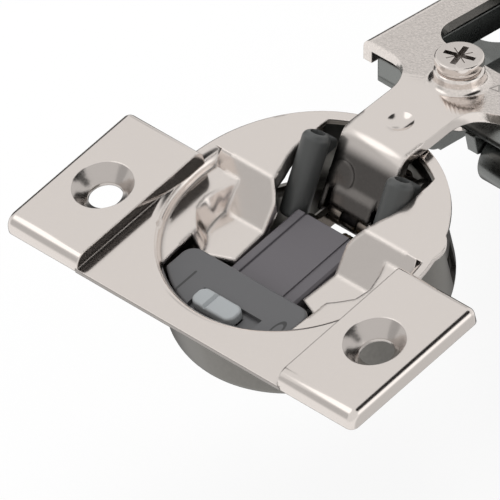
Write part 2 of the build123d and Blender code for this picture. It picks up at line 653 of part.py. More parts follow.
def lever_coil_spring():
    pitch = 2 * COIL_WIRE_R + 0.04
    path = Helix(pitch=pitch, height=pitch * COIL_TURNS, radius=COIL_R)
    section = Plane(origin=path @ 0, z_dir=path % 0) * RegularPolygon(COIL_WIRE_R, 6)
    coil = sweep(section, path=path)
    return Pos(COIL_START_X, *FRONT_PIVOT) * Rot(0, 90, 0) * coil


# Arm, in a tilted frame: x across, y along the arm, z out of its top face

ARM_FRAME = Plane(
    origin=PLATE_ORIGIN, x_dir=(1, 0, 0),
    z_dir=(0, math.sin(math.radians(PLATE_TILT)), math.cos(math.radians(PLATE_TILT))))


WEB_NORMAL = (-math.sin(math.radians(WEB_ANGLE)), math.cos(math.radians(WEB_ANGLE)))


def web_point(along, out):
    angle = math.radians(WEB_ANGLE)
    y = EYE_PIVOT[0] + along * math.cos(angle) - out * math.sin(angle)
    z = EYE_PIVOT[1] + along * math.sin(angle) + out * math.cos(angle)
    return (y, z)


def offset_corner(before, corner, after, depth):
    first = math.atan2(corner[1] - before[1], corner[0] - before[0])
    second = math.atan2(after[1] - corner[1], after[0] - corner[0])
    middle = (first + second) / 2
    reach = depth / math.cos((second - first) / 2)
    return (corner[0] + reach * math.sin(middle), corner[1] - reach * math.cos(middle))


def web_and_neck():
    front = EYE_R
    foot = web_point(WEB_FOOT, front)
    bend = web_point(WEB_LENGTH, front)
    tilt = math.tan(math.radians(PLATE_TILT))
    neck_end = (NECK_END_Y, PLATE_ORIGIN[2] - tilt * (NECK_END_Y - PLATE_ORIGIN[1]))
    tail = (NECK_END_Y + 0.6, neck_end[1] - tilt * 0.6)
    inner_bend = offset_corner(foot, bend, neck_end, ARM_SHEET)
    inner_neck = offset_corner(bend, neck_end, tail, ARM_SHEET)
    inner_foot = web_point(WEB_FOOT, front - ARM_SHEET)
    drop = ARM_SHEET * math.cos(math.radians(PLATE_TILT))
    inner_tail = (tail[0] - ARM_SHEET * math.sin(math.radians(PLATE_TILT)), tail[1] - drop)
    outline = Plane.YZ.offset(-WEB_HALF) * Polygon(
        foot, bend, neck_end, tail, inner_tail, inner_neck, inner_bend, inner_foot, align=None)
    sheet = extrude(outline, amount=2 * WEB_HALF, dir=(1, 0, 0))
    across = sheet.edges().filter_by(Axis.X)
    outer = across.sort_by_distance((0, bend[0], bend[1]))[0]
    sheet = fillet(outer, BEND_OUTER_R)
    across = sheet.edges().filter_by(Axis.X)
    inner = across.sort_by_distance((0, inner_bend[0], inner_bend[1]))[0]
    return fillet(inner, BEND_INNER_R)


def arm_plate():
    low = -ARM_SHEET
    flat = Plane.XY.offset(low) * Polygon(
        (-PLATE_HALF, PLATE_FRONT), (PLATE_HALF, PLATE_FRONT), (PLATE_HALF, PLATE_REAR),
        (-PLATE_HALF, PLATE_REAR), align=None)
    plate = extrude(flat, amount=ARM_SHEET, dir=(0, 0, 1))
    skirt_x = PLATE_HALF - ARM_SHEET
    for start in (skirt_x, -PLATE_HALF):
        plate += block((start, start + ARM_SHEET), (PLATE_FRONT, PLATE_REAR), (-FLANGE_DROP, -0.1))
    side_edges = plate.edges().filter_by(Axis.Y).group_by(Axis.Z)[-1].sort_by(Axis.X)
    plate = fillet([side_edges[0], side_edges[-1]], ARM_SHEET - 0.1)
    for start in (skirt_x, -PLATE_HALF):
        end = start + ARM_SHEET
        ear_s = (TILT_AXIS[0] - TILT_EAR_R, TILT_AXIS[0] + TILT_EAR_R)
        plate += block((start, end), ear_s, (TILT_AXIS[1], 0.1 - FLANGE_DROP))
        plate += rod_x(TILT_AXIS, TILT_EAR_R, start, end)
    plate -= rod_x(TILT_AXIS, TILT_PIN_R, -PLATE_HALF - 1, PLATE_HALF + 1)
    flare_y = PLATE_FRONT - FLARE_R
    for side in (-1, 1):
        corner = block((0, WEB_HALF + FLARE_R), (flare_y, PLATE_FRONT + 0.5), (low, 0))
        corner -= disc(FLARE_R, low - 1, 1, WEB_HALF + FLARE_R, flare_y)
        plate += corner if side > 0 else mirror(corner, about=Plane.YZ)
    window = Pos(0, (WINDOW_FRONT + WINDOW_REAR) / 2, low - 1) * extrude(
        RectangleRounded(2 * WINDOW_HALF, WINDOW_REAR - WINDOW_FRONT, WINDOW_CORNER_R), amount=ARM_SHEET + 2)
    plate -= window
    collar = disc(COLLAR_R, -0.2, COLLAR_RISE)
    collar = fillet(collar.edges().filter_by(GeomType.CIRCLE).sort_by(Axis.Z)[-1], COLLAR_EDGE_R)
    foot_r = COLLAR_R + COLLAR_FOOT
    flare = Pos(0, 0, COLLAR_FOOT) * Torus(foot_r, COLLAR_FOOT)
    plate += collar + disc(foot_r, -0.2, COLLAR_FOOT) - flare
    plate -= disc(SCREW_R + RUNNING_GAP, low - 1, COLLAR_RISE + 1)
    notch_half = CATCH_HALF + REAR_NOTCH_GAP
    plate -= block((-notch_half, notch_half), (PLATE_REAR - REAR_NOTCH, PLATE_REAR + 1), (low - 1, 1))
    return ARM_FRAME * plate


def arm_cheek():
    rear = WEB_FOOT + 1.2
    corners = [
        web_point(CHEEK_LOW[1][0], EYE_R), web_point(rear, EYE_R), web_point(rear, EYE_R - ARM_SHEET),
        web_point(*CHEEK_LOW[0]), web_point(*CHEEK_LOW[1])]
    cheek = prism_yz(corners, CHEEK_INNER_X, WEB_HALF)
    cheek += rod_x(CHEEK_PIVOT, INNER_BOSS_R, CHEEK_INNER_X, WEB_HALF)
    return cheek - rod_x(CHEEK_PIVOT, ARM_PIN_R, CHEEK_INNER_X - 1, WEB_HALF + 1)


def web_apron():
    inner, outer = EYE_R + APRON_OUT[0], EYE_R + APRON_OUT[1]
    root = EYE_R - 0.2
    apron = prism_yz(
        [web_point(APRON_FOOT, inner), web_point(WEB_FOOT, inner), web_point(WEB_FOOT + 0.2, root),
         web_point(APRON_TOP, root), web_point(APRON_TOP, EYE_R), web_point(WEB_FOOT, outer),
         web_point(APRON_FOOT, outer)], -APRON_HALF, APRON_HALF)
    apron += rod_x(web_point(APRON_FOOT, outer - WEB_CURL_R), WEB_CURL_R, -APRON_HALF, APRON_HALF)
    rib = prism_yz(
        [web_point(APRON_FOOT, inner + 0.1), web_point(WEB_FOOT, inner + 0.1), web_point(WEB_FOOT, root),
         web_point(APRON_FOOT, root)], -KNUCKLE_HALF, KNUCKLE_HALF)
    return apron + rib


def hinge_arm():
    arm = web_and_neck() + arm_plate()
    tongue = prism_yz(
        [web_point(0, EYE_R), web_point(WEB_FOOT + 0.2, EYE_R),
         web_point(WEB_FOOT + 0.2, EYE_R - ARM_SHEET), web_point(0, EYE_R - ARM_SHEET)],
        -KNUCKLE_HALF, KNUCKLE_HALF)
    arm += tongue + rod_x(EYE_PIVOT, EYE_R, -KNUCKLE_HALF, KNUCKLE_HALF)
    arm -= rod_x(EYE_PIVOT, ARM_PIN_R, -KNUCKLE_HALF - 1, KNUCKLE_HALF + 1)
    for body in both_sides(arm_cheek()):
        arm += body
    arm += web_apron()
    web_plane = Plane(origin=(0, *web_point(0, EYE_R)), x_dir=(1, 0, 0), z_dir=(0, *WEB_NORMAL))
    arm += web_plane * disc(WEB_DISC_R, -0.2, WEB_DISC_RISE, *WEB_DISC)
    ball_r = (DIMPLE_R ** 2 + DIMPLE_DEPTH ** 2) / (2 * DIMPLE_DEPTH)
    arm -= Pos(0, DIMPLE_Y, DIMPLE_TOP + ball_r - DIMPLE_DEPTH) * Sphere(ball_r)
    return arm


def arm_inner_pin(side):
    low, high = (INNER_LEVER_X[0], WEB_HALF) if side > 0 else (-WEB_HALF, -INNER_LEVER_X[0])
    return rod_x(CHEEK_PIVOT, ARM_PIN_R, low, high)


def arm_outer_pin():
    return rod_x(EYE_PIVOT, ARM_PIN_R, -OUTER_LEVER_X[1], OUTER_LEVER_X[1])


def side_adjusting_screw():
    head = disc(SCREW_HEAD_R, SCREW_HEAD_TOP - SCREW_HEAD_THICK, SCREW_HEAD_TOP)
    head = fillet(head.edges().filter_by(GeomType.CIRCLE).sort_by(Axis.Z)[-1], SCREW_HEAD_EDGE_R)
    shank = disc(SCREW_R, SCREW_TIP, SCREW_HEAD_TOP - SCREW_HEAD_THICK)
    shank = chamfer(shank.edges().filter_by(GeomType.CIRCLE).sort_by(Axis.Z)[0], SCREW_TIP_EDGE)
    waist = disc(SCREW_R + SCREW_WAIST, COLLAR_RISE + RUNNING_GAP, COLLAR_RISE + 0.5)
    screw = head + shank + waist
    for angle in (0, 90):
        slot = Box(2 * CROSS_ARM, CROSS_WIDTH, CROSS_DEPTH, align=(Align.CENTER, Align.CENTER, Align.MAX))
        screw -= Pos(0, 0, SCREW_HEAD_TOP) * Rot(0, 0, angle + CROSS_ANGLE) * slot
        mark = Box(MARK_LENGTH, MARK_WIDTH, MARK_DEPTH, align=(Align.CENTER, Align.CENTER, Align.MAX))
        screw -= Pos(0, 0, SCREW_HEAD_TOP) * Rot(0, 0, angle + CROSS_ANGLE + 45) * mark
    return ARM_FRAME * screw


# Carriage, cam, catch and mounting plate

def arm_carriage():
    depth = (CARRIAGE_FOOT, CARRIAGE_TOP)
    bar = block((-CARRIAGE_HALF, CARRIAGE_HALF), (CARRIAGE_FRONT, CARRIAGE_BAR_END), depth)
    nose_edges = bar.edges().filter_by(Axis.X).group_by(Axis.Y)[0]
    bar = chamfer(nose_edges, NOSE_CHAMFER)
    bar = chamfer(bar.edges().filter_by(Axis.Y).group_by(Axis.Z)[0], NOSE_CHAMFER)
    corner_edges = bar.edges().filter_by(Axis.Z).group_by(Axis.Y)[0]
    body = chamfer(corner_edges, NOSE_CORNER)
    for start in (CARRIAGE_RAIL_X, -CARRIAGE_HALF):
        end = start + CARRIAGE_HALF - CARRIAGE_RAIL_X
        body += block((start, end), (CARRIAGE_BAR_END - 0.5, CARRIAGE_REAR), depth)
    between = (-CARRIAGE_RAIL_X, CARRIAGE_RAIL_X)
    body += block(between, (CARRIAGE_REAR_BAR, CARRIAGE_REAR), depth)
    body += block(between, BRIDGE_S, BRIDGE_Z)
    body -= disc(CARRIAGE_SCREW_HOLE_R, -8, 0)
    body -= disc(CAM_SHAFT_R + RUNNING_GAP, -8, 0, 0, CAM_S)
    body -= disc(CAM_R + 0.3, CARRIAGE_TOP - 1.2, 0, 0, CAM_S)
    body -= rod_x(TILT_AXIS, TILT_PIN_R + RUNNING_GAP, -CARRIAGE_HALF - 1, CARRIAGE_HALF + 1)
    for side in (-1, 1):
        root = CARRIAGE_FOOT + 0.4
        hook = prism_yz([(HOOK_FRONT_S, root), (HOOK_REAR_S, root), *HOOK_TIP], 0.0, HOOK_WIDTH)
        body += Pos(side * HOOK_X - HOOK_WIDTH / 2, 0, 0) * hook
        low, high = LUG_X if side > 0 else (-LUG_X[1], -LUG_X[0])
        lug_s = (CATCH_AXIS[0] - LUG_R, CATCH_AXIS[0] + LUG_R)
        lug = block((low, high), lug_s, (CATCH_AXIS[1], CARRIAGE_FOOT + 0.1))
        lug += rod_x(CATCH_AXIS, LUG_R, low, high)
        body += lug - rod_x(CATCH_AXIS, CATCH_PIN_R, low - 1, high + 1)
    return ARM_FRAME * body


def tilt_pin():
    end_x = PLATE_HALF - TILT_PIN_SHORT
    return ARM_FRAME * rod_x(TILT_AXIS, TILT_PIN_R, -end_x, end_x)


def depth_cam():
    shaft_foot = PLATE_CORE_TOP - CAM_SHAFT_DEPTH
    lobe_foot = PLATE_CORE_TOP - CAM_LOBE_DEPTH
    cam = disc(CAM_R, CAM_TOP - CAM_THICK, CAM_TOP, 0, CAM_S)
    cam += disc(CAM_SHAFT_R, shaft_foot, CAM_TOP - CAM_THICK / 2, 0, CAM_S)
    cam += disc(CAM_SHAFT_R - 0.5, lobe_foot, shaft_foot + 0.1, CAM_LOBE_SHIFT, CAM_S)
    for angle in (0, 90):
        slot = Box(*CAM_CROSS, align=(Align.CENTER, Align.CENTER, Align.MAX))
        cam -= Pos(0, CAM_S, CAM_TOP) * Rot(0, 0, angle) * slot
    return ARM_FRAME * cam


def base_plate():
    core = block((-PLATE_CORE_HALF, PLATE_CORE_HALF), PLATE_CORE_S, (PLATE_FOOT, PLATE_CORE_TOP))
    core = chamfer(core.edges().filter_by(Axis.Y).group_by(Axis.Z)[-1], CORE_EDGE)
    wing_mid = (WING_S[0] + WING_S[1]) / 2
    wing = Pos(0, wing_mid, PLATE_FOOT) * extrude(
        RectangleRounded(2 * WING_SPREAD, WING_S[1] - WING_S[0], WING_CORNER_R), amount=WING_THICK)
    plate = core + wing
    for side in (-1, 1):
        low, high = LOBE_X if side > 0 else (-LOBE_X[1], -LOBE_X[0])
        plate += rod_x(LOBE_CENTRE, LOBE_R, low, high)
        lobe_s = (LOBE_CENTRE[0], PLATE_CORE_S[0] + 1)
        plate += block((low, high), lobe_s, (PLATE_FOOT, LOBE_CENTRE[1] + LOBE_R))
        plate -= disc(PLATE_HOLE_R, PLATE_FOOT - 1, 0, side * PLATE_HOLE_PITCH / 2, wing_mid)
        sink = Pos(side * PLATE_HOLE_PITCH / 2, wing_mid, PLATE_FOOT + WING_THICK - PLATE_SINK[1]) * Cone(
            PLATE_HOLE_R, PLATE_HOLE_R + PLATE_SINK[0], PLATE_SINK[0],
            align=(Align.CENTER, Align.CENTER, Align.MIN))
        plate -= sink
    slot_len = 2 * CAM_SHAFT_R + 5.0
    slot = Pos(0, CAM_S, PLATE_CORE_TOP - 2.8) * extrude(
        SlotOverall(slot_len, 2 * CAM_SHAFT_R + 0.6, rotation=90), amount=4)
    return ARM_FRAME * (plate - slot)


def clip_lever():
    across = (-CATCH_HALF, CATCH_HALF)
    foot = CATCH_AXIS[1] - CATCH_BOSS_R
    thumb_s = (CATCH_THUMB_S, CATCH_THUMB_S + CATCH_SHEET)
    lever = rod_x(CATCH_AXIS, CATCH_BOSS_R, *across)
    lever += block(across, (CATCH_AXIS[0], thumb_s[1]), (foot, foot + CATCH_SHEET))
    lever += block(across, thumb_s, (foot, CATCH_THUMB_TOP))
    lever -= rod_x(CATCH_AXIS, CATCH_PIN_R + RUNNING_GAP, across[0] - 1, across[1] + 1)
    return ARM_FRAME * lever


def clip_lever_pin():
    return ARM_FRAME * rod_x(CATCH_AXIS, CATCH_PIN_R, -LUG_X[1], LUG_X[1])


NODES = {
    "flange_plate": flange_plate(),
    "cup_shell": cup_shell(),
    "rear_cup_pin": cup_pin(REAR_PIVOT, REAR_EAR_X),
    "front_cup_pin": cup_pin(FRONT_PIVOT, FRONT_EAR_X),
    "outer_lever": outer_lever(),
    "inner_lever_left": inner_lever(-1),
    "inner_lever_right": inner_lever(1),
    "damper_housing": damper_housing(),
    "deactivation_switch": deactivation_switch(),
    "damper_slider": damper_slider(),
    "damper_cylinder": damper_cylinder(),
    "damper_rod": damper_rod(),
    "damper_return_spring": damper_return_spring(),
    "spring_sleeve_left": spring_sleeve(-1),
    "spring_sleeve_right": spring_sleeve(1),
    "closing_spring": closing_spring(),
    "lever_coil_spring": lever_coil_spring(),
    "hinge_arm": hinge_arm(),
    "arm_outer_pin": arm_outer_pin(),
    "arm_inner_pin_left": arm_inner_pin(-1),
    "arm_inner_pin_right": arm_inner_pin(1),
    "side_adjusting_screw": side_adjusting_screw(),
    "arm_carriage": arm_carriage(),
    "tilt_pin": tilt_pin(),
    "depth_cam": depth_cam(),
    "base_plate": base_plate(),
    "clip_lever": clip_lever(),
    "clip_lever_pin": clip_lever_pin(),
}

os.makedirs("parts", exist_ok=True)
for name, body in NODES.items():
    export_step(body, f"parts/{name}.step")
    print(name, round(body.volume, 1))
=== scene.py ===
# %% [markdown]
# # A concealed cup hinge on a bench
#
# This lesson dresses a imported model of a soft-closing cabinet hinge. Nearly every part of
# the real thing is bright: the flange and the arm are stamped from sheet steel and plated
# with nickel, the pot is drawn steel, and the blocks under the arm are cast from zinc.
# Bright metal shows almost nothing of its own colour. It shows what stands around it, and
# most of all it shows that along its rounded edges. So the work is in three things: soft
# edges on every piece, a studio for the metal to look at, and quiet plastics between them.

# %% Load the frame
import math

import bmesh
import bpy
from mathutils import Matrix, Vector


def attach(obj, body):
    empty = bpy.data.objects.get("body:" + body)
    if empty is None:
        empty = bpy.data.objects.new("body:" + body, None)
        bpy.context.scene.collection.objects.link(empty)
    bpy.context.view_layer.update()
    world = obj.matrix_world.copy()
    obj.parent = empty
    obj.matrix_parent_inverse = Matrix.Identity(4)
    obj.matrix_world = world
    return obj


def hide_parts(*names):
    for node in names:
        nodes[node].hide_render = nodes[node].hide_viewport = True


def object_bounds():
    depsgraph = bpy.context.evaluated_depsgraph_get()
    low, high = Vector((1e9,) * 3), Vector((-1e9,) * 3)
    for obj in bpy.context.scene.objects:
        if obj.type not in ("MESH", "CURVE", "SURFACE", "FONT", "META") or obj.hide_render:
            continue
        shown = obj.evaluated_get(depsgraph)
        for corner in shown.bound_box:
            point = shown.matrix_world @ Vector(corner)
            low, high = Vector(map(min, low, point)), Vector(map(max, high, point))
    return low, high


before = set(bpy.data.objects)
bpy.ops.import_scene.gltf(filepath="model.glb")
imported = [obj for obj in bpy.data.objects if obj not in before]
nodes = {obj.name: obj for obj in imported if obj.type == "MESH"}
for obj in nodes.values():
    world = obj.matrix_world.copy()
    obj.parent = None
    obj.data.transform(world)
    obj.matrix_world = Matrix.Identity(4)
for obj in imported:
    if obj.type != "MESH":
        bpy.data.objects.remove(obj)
scene = bpy.context.scene
MM = 0.001
cad_low, cad_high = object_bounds()
print("nodes", len(nodes), "size in mm", [round(v / MM, 1) for v in cad_high - cad_low])

# %% [markdown]
# ## The camera
#
# Catalogue pictures are taken from far away with a long lens, so that parallel edges stay
# nearly parallel. An orthographic camera would do that too, but then no other view of the
# part could use it in the same way. A long lens at about two metres keeps both.

# %% Camera
CAMERA_AZIMUTH = math.radians(54.167)
CAMERA_ELEVATION = math.radians(44.404)
CAMERA_ROLL = math.radians(-14.234)
CAMERA_DISTANCE = 1.969
CAMERA_AIM = Vector((-2.526, -5.494, -0.593)) * MM
SENSOR_WIDTH = 36.0
CLIP_START, CLIP_END = 0.1, 20
PICTURE_PIXELS = 500
PIXELS_PER_METRE = 8526
FRAME_WIDTH = PICTURE_PIXELS / PIXELS_PER_METRE

level = math.cos(CAMERA_ELEVATION)
back = Vector((
    math.sin(CAMERA_AZIMUTH) * level, -math.cos(CAMERA_AZIMUTH) * level,
    math.sin(CAMERA_ELEVATION)))
camera_data = bpy.data.cameras.new("catalogue_camera")
camera_data.sensor_width = SENSOR_WIDTH
camera_data.lens = SENSOR_WIDTH * CAMERA_DISTANCE / FRAME_WIDTH
camera_data.clip_start = CLIP_START
camera_data.clip_end = CLIP_END
camera = bpy.data.objects.new("catalogue_camera", camera_data)
facing = back.to_track_quat("Z", "Y").to_matrix().to_4x4()
rolled = facing @ Matrix.Rotation(CAMERA_ROLL, 4, "Z")
camera.matrix_world = Matrix.Translation(CAMERA_AIM + back * CAMERA_DISTANCE) @ rolled
scene.collection.objects.link(camera)
scene.camera = camera
scene.view_settings.view_transform = "Standard"
print("lens", round(camera_data.lens), "mm")

# %% [markdown]
# ## Small helpers for node trees
#
# A material is a graph, and written out line by line a graph is long. A few helpers keep it
# short: one adds a node with its settings, and one feeds a socket, either from another
# socket or with a plain value. The others make the nodes that come up again and again.

# %% Node helpers
def add_node(tree, kind, **settings):
    node = tree.nodes.new(kind)
    for name, value in settings.items():
        setattr(node, name, value)
    return node


def feed(tree, socket, value):
    if isinstance(value, bpy.types.NodeSocket):
        tree.links.new(value, socket)
    else:
        socket.default_value = value

# %% Sums and ramps
MEASURES = ("DOT_PRODUCT", "DISTANCE", "LENGTH")


def number(tree, operation, *values, **settings):
    node = add_node(tree, "ShaderNodeMath", operation=operation, **settings)
    for socket, value in zip(node.inputs, values):
        feed(tree, socket, value)
    return node.outputs[0]


def vector(tree, operation, first, second=None):
    node = add_node(tree, "ShaderNodeVectorMath", operation=operation)
    feed(tree, node.inputs[0], first)
    if second is not None:
        feed(tree, node.inputs["Scale" if operation == "SCALE" else 1], second)
    return node.outputs["Value" if operation in MEASURES else "Vector"]


def ramp(tree, value, start, end, low=0.0, high=1.0, kind="SMOOTHSTEP"):
    node = add_node(tree, "ShaderNodeMapRange", interpolation_type=kind)
    labels = ("Value", "From Min", "From Max", "To Min", "To Max")
    for label, given in zip(labels, (value, start, end, low, high)):
        feed(tree, node.inputs[label], given)
    return node.outputs["Result"]

# %% Mixes and coordinates
def mix_shaders(tree, share, first, second):
    node = add_node(tree, "ShaderNodeMixShader")
    for socket, value in zip(node.inputs, (share, first, second)):
        feed(tree, socket, value)
    return node.outputs[0]


def object_place(tree):
    return add_node(tree, "ShaderNodeTexCoord").outputs["Object"]


def place_axes(tree, place):
    node = add_node(tree, "ShaderNodeSeparateXYZ")
    feed(tree, node.inputs[0], place)
    return node.outputs

# %% [markdown]
# ## The studio
#
# The object stands over a pale floor under one large soft lamp, with a weaker one at the
# left and another in front. The world does two jobs. To the camera it is plain white. To
# the metal it is a studio with cards: white, grey and black, each a soft-edged patch in one
# direction. Real sheets of card on stands would do the same, but would stand in the way of
# other views. The flats look into the even part between the cards, and each rounded edge
# sweeps past a white and a black card. That draws the bright and dark lines which make
# sheet metal look like metal. Each card has its direction, the angles in degrees where it
# is whole and where it ends, and its brightness.

# %% World
WORLD_FILL = 0.52
FLOOR_GLOW = 0.92
SKY_GLOW = 0.79
HORIZON = 0.06
GLOW_TINT = (1, 0.99, 0.975, 1)
WHITE = (1, 1, 1, 1)
CARDS = [
    ("grey_front", (-0.579, -0.72, 0.38), 14, 20, 0.54),
    ("white_front", (-0.50, -0.25, 0.83), 14, 19, 1.35),
    ("black_ceiling", (0.43, 0.50, 0.75), 18, 24, 0.02),
    ("white_right", (0.88, 0.42, 0.20), 12, 18, 1.25),
    ("black_left", (-0.94, 0.33, 0.07), 12, 20, 0.02),
    ("grey_rear", (-0.579, 0.77, 0.268), 5, 10, 0.50),
    ("dark_behind", (-0.55, 0.50, -0.67), 8, 45, 0.05),
    ("grey_floor", (0.60, 0.35, -0.72), 20, 42, 0.62),
]


def background(tree, colour, strength):
    node = add_node(tree, "ShaderNodeBackground")
    node.inputs["Color"].default_value = colour
    feed(tree, node.inputs["Strength"], strength)
    return node.outputs[0]


world = bpy.data.worlds.new("studio")
scene.world = world
world.use_nodes = True
tree = world.node_tree
tree.nodes.clear()
direction = add_node(tree, "ShaderNodeTexCoord").outputs["Generated"]
picture = ramp(
    tree, place_axes(tree, direction)["Z"], -HORIZON, HORIZON, FLOOR_GLOW, SKY_GLOW)
for name, axis, whole, end, bright in CARDS:
    towards = vector(tree, "DOT_PRODUCT", direction, Vector(axis).normalized())
    cover = ramp(tree, towards, math.cos(math.radians(end)), math.cos(math.radians(whole)))
    card = add_node(tree, "ShaderNodeMix", name=name)
    for label, value in (("Factor", cover), ("A", picture), ("B", bright)):
        feed(tree, card.inputs[label], value)
    picture = card.outputs["Result"]
paths = add_node(tree, "ShaderNodeLightPath")
seen_by_metal = background(tree, GLOW_TINT, picture)
fill = background(tree, WHITE, WORLD_FILL)
not_camera = mix_shaders(tree, paths.outputs["Is Glossy Ray"], fill, seen_by_metal)
white = background(tree, WHITE, 1.0)
backdrop = mix_shaders(tree, paths.outputs["Is Camera Ray"], not_camera, white)
feed(tree, add_node(tree, "ShaderNodeOutputWorld").inputs[0], backdrop)
print("cards", len(CARDS))

# %% Lamps
LAMPS = {
    "key_softbox": {"place": (-0.25, 0.35, 0.75), "size": 0.55, "watts": 3.2},
    "left_softbox": {"place": (-0.75, -0.30, 0.35), "size": 0.45, "watts": 1.6},
    "front_softbox": {"place": (0.30, -0.80, 0.55), "size": 0.40, "watts": 1.5},
}
middle = (cad_low + cad_high) / 2
for name, lamp in LAMPS.items():
    data = bpy.data.lights.new(name, "AREA")
    data.size = lamp["size"]
    data.energy = lamp["watts"]
    softbox = bpy.data.objects.new(name, data)
    softbox.location = Vector(lamp["place"])
    softbox.rotation_euler = (softbox.location - middle).to_track_quat("Z", "Y").to_euler()
    softbox.visible_glossy = False
    scene.collection.objects.link(softbox)
print("lamps", len(LAMPS))

# %% [markdown]
# ## The floor
#
# The floor is one pale disc, a little below the part, so that the shadow stays soft. Its
# rim fades out, so no view shows an edge or a horizon. It is hidden from glossy rays: the
# metal takes its picture of the floor from the world, which is smooth and costs no noise.

# %% Floor
FLOOR_DROP = 18 * MM
FLOOR_RADIUS = 0.30
FLOOR_FADE = (0.09, 0.28)
FLOOR_SIDES = 96
FLOOR_SHADOW = 0.15
FLOOR_ROUGHNESS = 0.9

floor_mesh = bpy.data.meshes.new("floor")
work = bmesh.new()
bmesh.ops.create_circle(work, cap_ends=True, radius=FLOOR_RADIUS, segments=FLOOR_SIDES)
bmesh.ops.translate(work, verts=work.verts, vec=(0, 0, cad_low.z - FLOOR_DROP))
work.to_mesh(floor_mesh)
work.free()
floor = bpy.data.objects.new("floor", floor_mesh)
scene.collection.objects.link(floor)
floor.visible_glossy = False
print("floor at", round((cad_low.z - FLOOR_DROP) / MM, 1), "mm")

# %% Floor paint
floor_paint = bpy.data.materials.new("floor_paint")
floor_paint.use_nodes = True
tree = floor_paint.node_tree
paint = tree.nodes["Principled BSDF"]
paint.inputs["Base Color"].default_value = WHITE
paint.inputs["Roughness"].default_value = FLOOR_ROUGHNESS
paint.inputs["Specular IOR Level"].default_value = 0.0
glow = add_node(tree, "ShaderNodeEmission").outputs[0]
seen = mix_shaders(tree, FLOOR_SHADOW, glow, paint.outputs[0])
is_camera = add_node(tree, "ShaderNodeLightPath").outputs["Is Camera Ray"]
floor_look = mix_shaders(tree, is_camera, paint.outputs[0], seen)
from_middle = vector(tree, "LENGTH", object_place(tree))
gone = ramp(tree, from_middle, *FLOOR_FADE)
clear = add_node(tree, "ShaderNodeBsdfTransparent").outputs[0]
faded = mix_shaders(tree, gone, floor_look, clear)
feed(tree, tree.nodes["Material Output"].inputs["Surface"], faded)
floor_mesh.materials.append(floor_paint)
print("floor fades out between", FLOOR_FADE, "m")

# %% [markdown]
# ## Two surfaces that every finish shares
#
# Every finish here needs the same two things at its own scale: a fine grain in colour,
# roughness and height, as plating, blasting and moulds leave it, and slow clouds where the
# surface is slightly duller, as fingers and oil leave them. The nodes could be copied into
# each material, but then each copy would be mended by itself. As node groups with named
# inputs they are built once, and a finish only sets their numbers.

# %% Group helpers
FLOAT = "NodeSocketFloat"
COLOUR = "NodeSocketColor"
VECTOR = "NodeSocketVector"


def start_group(name, inputs, outputs):
    group = bpy.data.node_groups.new(name, "ShaderNodeTree")
    for label, kind, value in inputs:
        socket = group.interface.new_socket(label, in_out="INPUT", socket_type=kind)
        socket.default_value = value
    for label, kind in outputs:
        group.interface.new_socket(label, in_out="OUTPUT", socket_type=kind)
    given = add_node(group, "NodeGroupInput").outputs
    result = add_node(group, "NodeGroupOutput").inputs
    return group, given, result


def use_group(tree, group, values):
    node = add_node(tree, "ShaderNodeGroup", node_tree=group)
    for label, value in values.items():
        feed(tree, node.inputs[label], value)
    return node.outputs


def noise(tree, size, detail):
    node = add_node(tree, "ShaderNodeTexNoise")
    values = {"Vector": object_place(tree), "Scale": size, "Detail": detail}
    for label, value in values.items():
        feed(tree, node.inputs[label], value)
    return node

# %% Grain group
SPECK_DETAIL = 3
SPECK_ROUGHNESS = 0.65
NOISE_MIDDLE = 0.5

grain_group, given, result = start_group(
    "fine_grain",
    [("Colour", COLOUR, (0.8, 0.8, 0.8, 1)), ("Speck Size", FLOAT, 2500.0),
     ("Depth", FLOAT, 0.1), ("Roughness", FLOAT, 0.25), ("Roughness Spread", FLOAT, 0.05),
     ("Mask", FLOAT, 1.0)],
    [("Colour", COLOUR), ("Roughness", FLOAT), ("Height", FLOAT)])
specks = noise(grain_group, given["Speck Size"], SPECK_DETAIL)
specks.inputs["Roughness"].default_value = SPECK_ROUGHNESS
centred = number(grain_group, "SUBTRACT", specks.outputs["Fac"], NOISE_MIDDLE)
masked = number(grain_group, "MULTIPLY", centred, given["Mask"])
depth = number(grain_group, "MULTIPLY_ADD", masked, given["Depth"], 1.0)
tinted = vector(grain_group, "SCALE", given["Colour"], depth)
dull = number(
    grain_group, "MULTIPLY_ADD", masked, given["Roughness Spread"], given["Roughness"])
for label, value in (("Colour", tinted), ("Roughness", dull), ("Height", masked)):
    feed(grain_group, result[label], value)
print("grain takes", [socket.name for socket in given][:-1])

# %% Cloud group
CLOUD_DETAIL = 2

cloud_group, given, result = start_group(
    "slow_clouds",
    [("Roughness", FLOAT, 0.2), ("Amount", FLOAT, 0.05), ("Size", FLOAT, 120.0)],
    [("Roughness", FLOAT)])
clouds = noise(cloud_group, given["Size"], CLOUD_DETAIL)
duller = number(
    cloud_group, "MULTIPLY_ADD", clouds.outputs["Fac"], given["Amount"], given["Roughness"])
feed(cloud_group, result["Roughness"], duller)
print("clouds take", [socket.name for socket in given][:-1])

# %% [markdown]
# ## Masks
#
# A finish often changes in one place only. That place could be a separate material on
# chosen faces, but packed triangles rarely end where a finish does. A mask reads the
# piece's own coordinates instead. A slope rises from nought to one along any direction, a
# stroke is every point near one straight line seen from above, and a ring is every point
# near one ellipse.

# %% Slope group
slope_group, given, result = start_group(
    "slope",
    [("Along", VECTOR, (0, 0, 1)), ("Low", FLOAT, 0.0), ("High", FLOAT, 0.001)],
    [("Mask", FLOAT)])
reach = vector(slope_group, "DOT_PRODUCT", object_place(slope_group), given["Along"])
feed(slope_group, result["Mask"], ramp(slope_group, reach, given["Low"], given["High"]))


def slope(tree, along, low, high):
    values = {"Along": along, "Low": low * MM, "High": high * MM}
    return use_group(tree, slope_group, values)["Mask"]

# %% Stroke group
SEEN_FROM_ABOVE = (1, 1, 0)

